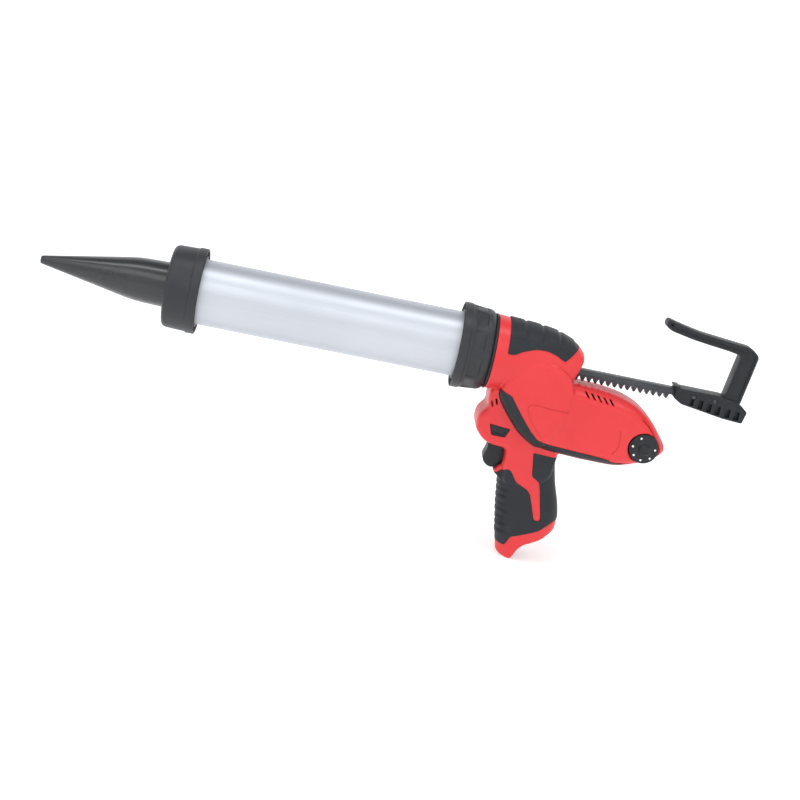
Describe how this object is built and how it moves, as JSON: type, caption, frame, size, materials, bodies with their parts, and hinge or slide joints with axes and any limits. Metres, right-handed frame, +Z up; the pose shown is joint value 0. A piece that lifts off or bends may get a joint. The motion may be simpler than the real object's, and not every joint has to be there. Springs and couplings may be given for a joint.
{
  "type": "cordless caulking gun",
  "caption": "Battery caulking gun with an open aluminium barrel for sealant sausage packs, a toothed push rod with a hooked pull handle, a cone nozzle, trigger, lock button and speed dial.",
  "frame": {"origin": "middle of the footprint of the gun's bounding box, level with the lowest point of its grip", "axes": "+X back along the barrel towards the pull handle, so the nozzle points along -X; +Y towards the right side of the gun, away from its speed dial; +Z up from the grip to the barrel"},
  "size_m": [0.5938, 0.071, 0.2264],
  "materials": {
    "red_housing": "satin, fine-grained",
    "black_plastic": "satin",
    "nozzle_black": "smooth",
    "grey_rubber": "matt",
    "aluminium_tube": "satin, drawn along its length",
    "dark_steel": "blackened",
    "bright_steel": "machined",
    "brass_bush": "turned",
    "circuit_board": "solder mask"
  },
  "bodies": {
    "body": {"housing_left": "red_housing", "housing_right": "red_housing", "top_pad_left": "grey_rubber", "top_pad_right": "grey_rubber", "belt_left": "black_plastic", "belt_right": "black_plastic", "grip_pad_left": "grey_rubber", "grip_pad_right": "grey_rubber", "housing_screw_1": "dark_steel", "housing_screw_2": "dark_steel", "housing_screw_3": "dark_steel", "housing_screw_4": "dark_steel", "housing_screw_5": "dark_steel", "housing_screw_6": "dark_steel", "housing_screw_7": "dark_steel", "gear_plate_left": "dark_steel", "gear_plate_right": "dark_steel", "drive_bush_left": "brass_bush", "drive_bush_right": "brass_bush", "cross_bush_left": "brass_bush", "cross_bush_right": "brass_bush", "roller_pin": "bright_steel", "gearbox_case": "dark_steel", "output_bearing": "bright_steel", "motor_can": "bright_steel", "motor_end_cap": "black_plastic", "control_board": "circuit_board", "terminal_block": "black_plastic", "trigger_switch": "black_plastic", "trigger_spring": "bright_steel", "dial_potentiometer": "black_plastic", "barrel_adapter": "black_plastic"},
    "ram": {"rack": "dark_steel", "piston": "black_plastic", "piston_washer": "bright_steel", "piston_screw": "bright_steel", "piston_carrier": "dark_steel", "pull_handle": "black_plastic", "handle_pin_1": "bright_steel", "handle_pin_2": "bright_steel"},
    "drive": {"drive_pinion": "bright_steel", "drive_wheel": "bright_steel"},
    "cross": {"cross_shaft": "bright_steel"},
    "roller": {"backing_roller": "bright_steel"},
    "bevel": {"bevel_wheel": "bright_steel"},
    "output": {"planet_carrier": "bright_steel", "bevel_pinion": "bright_steel"},
    "planet_1": {"planet_gear_1": "bright_steel"},
    "planet_2": {"planet_gear_2": "bright_steel"},
    "planet_3": {"planet_gear_3": "bright_steel"},
    "rotor": {"motor_rotor": "bright_steel"},
    "trigger": {"trigger": "black_plastic"},
    "lock": {"lock_button": "black_plastic"},
    "dial": {"speed_dial": "black_plastic"},
    "barrel": {"barrel_tube": "aluminium_tube", "tube_snap_ring": "bright_steel"},
    "rear_ring": {"rear_collar": "black_plastic"},
    "spout": {"nozzle": "nozzle_black", "nozzle_seal": "grey_rubber"},
    "front_ring": {"front_collar": "black_plastic"}
  },
  "joints": [
    {"name": "rack_slide", "type": "slide", "parent": "body", "child": "ram", "axis": [1, 0, 0], "range_m": [-0.07, 0.13]},
    {"name": "drive_turn", "type": "hinge", "parent": "body", "child": "drive", "pos_m": [0.1211, 0, 0.1518], "axis": [0, 1, 0], "range_deg": [-390, 720]},
    {"name": "cross_turn", "type": "hinge", "parent": "body", "child": "cross", "pos_m": [0.1211, 0, 0.12415], "axis": [0, 1, 0], "range_deg": [-2430, 1310]},
    {"name": "roller_turn", "type": "hinge", "parent": "body", "child": "roller", "pos_m": [0.1211, 0, 0.1766], "axis": [0, 1, 0], "range_deg": [-1250, 680]},
    {"name": "motor_spin", "type": "hinge", "parent": "body", "child": "rotor", "pos_m": [0.1781, 0, 0.12415], "axis": [1, 0, 0], "continuous": true},
    {"name": "output_spin", "type": "hinge", "parent": "body", "child": "output", "pos_m": [0.1381, 0, 0.12415], "axis": [1, 0, 0], "continuous": true},
    {"name": "bevel_spin", "type": "hinge", "parent": "body", "child": "bevel", "pos_m": [0.1211, 0, 0.12415], "axis": [0, 1, 0], "continuous": true},
    {"name": "trigger_pull", "type": "slide", "parent": "body", "child": "trigger", "axis": [1, 0, 0], "range_m": [0, 0.005], "stiffness_N_per_m": 600, "springref_m": -0.006, "deforming": ["trigger_spring"]},
    {"name": "lock_slide", "type": "slide", "parent": "body", "child": "lock", "axis": [0, 1, 0], "range_m": [-0.0025, 0.0025]},
    {"name": "dial_turn", "type": "hinge", "parent": "body", "child": "dial", "pos_m": [0.2162, -0.024, 0.1193], "axis": [0, 1, 0], "range_deg": [-135, 135]},
    {"name": "barrel_unscrew", "type": "slide", "parent": "body", "child": "barrel", "axis": [-1, 0, 0], "range_m": [0, 0.0125]},
    {"name": "rear_collar_turn", "type": "hinge", "parent": "barrel", "child": "rear_ring", "pos_m": [0.0631, 0, 0.17], "axis": [-1, 0, 0], "range_deg": [0, 1440]},
    {"name": "nozzle_unscrew", "type": "slide", "parent": "barrel", "child": "spout", "axis": [-1, 0, 0], "range_m": [0, 0.0125]},
    {"name": "front_collar_turn", "type": "hinge", "parent": "spout", "child": "front_ring", "pos_m": [-0.1779, 0, 0.17], "axis": [-1, 0, 0], "range_deg": [0, 1440]},
    {"name": "planet_spin_1", "type": "hinge", "parent": "output", "child": "planet_1", "pos_m": [0.1551, 0.012, 0.12415], "axis": [1, 0, 0], "continuous": true},
    {"name": "planet_spin_2", "type": "hinge", "parent": "output", "child": "planet_2", "pos_m": [0.1551, -0.006, 0.13454], "axis": [1, 0, 0], "continuous": true},
    {"name": "planet_spin_3", "type": "hinge", "parent": "output", "child": "planet_3", "pos_m": [0.1551, -0.006, 0.11376], "axis": [1, 0, 0], "continuous": true}
  ],
  "couplings": [
    {"joint": "drive_turn", "follows": "rack_slide", "rad_per_m": 95.238},
    {"joint": "cross_turn", "follows": "rack_slide", "rad_per_m": -323.81},
    {"joint": "roller_turn", "follows": "rack_slide", "rad_per_m": -166.67},
    {"joint": "output_spin", "follows": "motor_spin", "ratio": 0.25},
    {"joint": "bevel_spin", "follows": "motor_spin", "ratio": 0.15},
    {"joint": "planet_spin_1", "follows": "motor_spin", "ratio": -0.75},
    {"joint": "planet_spin_2", "follows": "motor_spin", "ratio": -0.75},
    {"joint": "planet_spin_3", "follows": "motor_spin", "ratio": -0.75},
    {"joint": "barrel_unscrew", "follows": "rear_collar_turn", "m_per_rad": 0.0004775},
    {"joint": "nozzle_unscrew", "follows": "front_collar_turn", "m_per_rad": 0.0004775}
  ]
}
